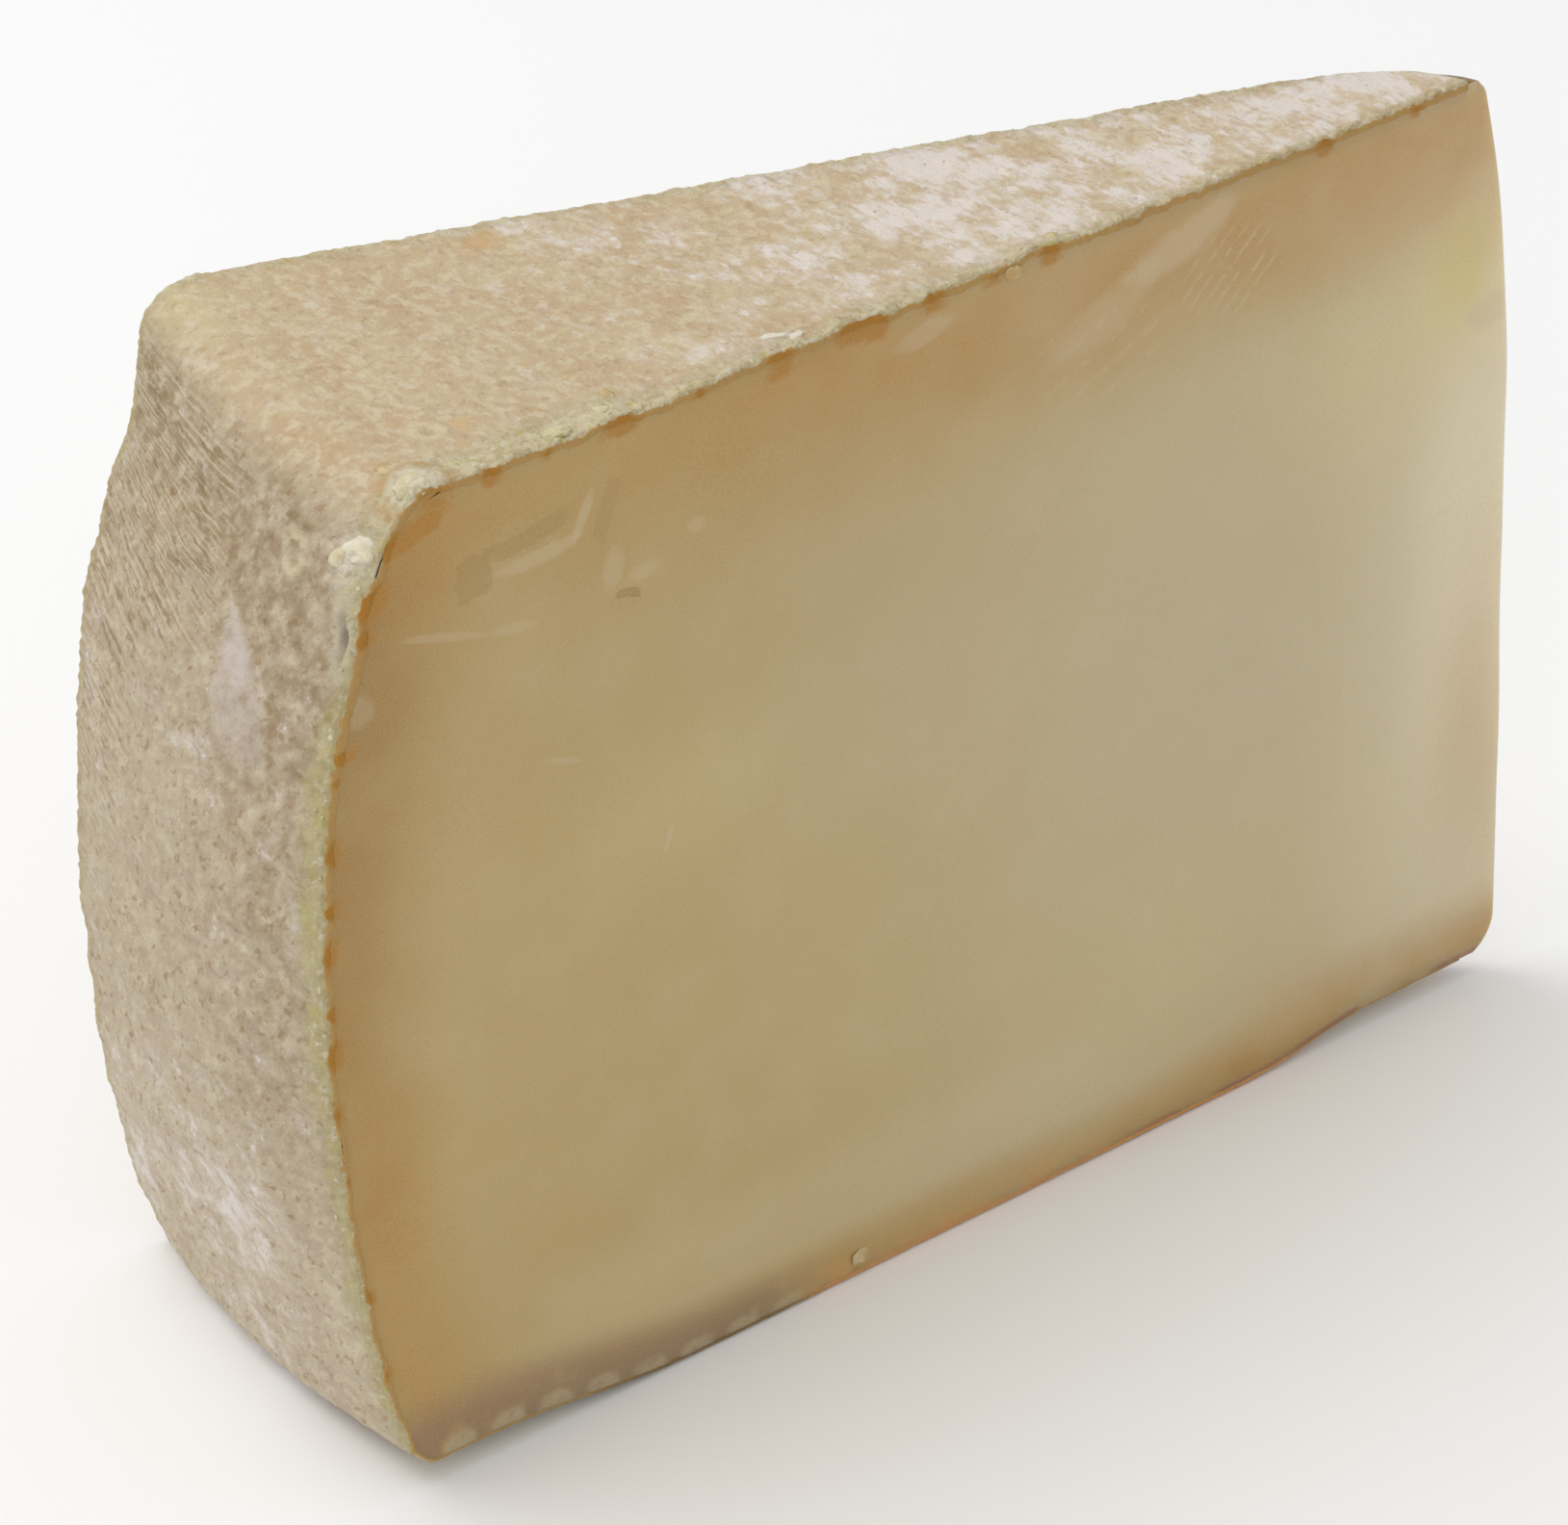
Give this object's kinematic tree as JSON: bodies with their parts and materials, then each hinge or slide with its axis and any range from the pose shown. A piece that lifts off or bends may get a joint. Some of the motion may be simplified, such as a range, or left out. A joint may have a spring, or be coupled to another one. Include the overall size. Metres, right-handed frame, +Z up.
{
  "type": "raclette cheese wedge",
  "caption": "Narrow upright wedge of pressed cheese with a bulging rind on its rim, a flat rind above and below, smooth cut faces, crumbly edges and a blunt tip.",
  "frame": {"origin": "on the floor, under the middle of the wedge's box", "axes": "+Z up; +X from the rim to the tip; the broad front cut looks towards -Y"},
  "size_m": [0.1134, 0.038, 0.0807],
  "materials": {
    "paste": "smooth, slightly waxy cheese paste, beige-yellow, warmer beside the rind",
    "rind": "dry granular washed rind, beige with pinkish mottling and pale bloom"
  },
  "bodies": {
    "root": {"cheese_wedge": "paste"}
  },
  "joints": []
}
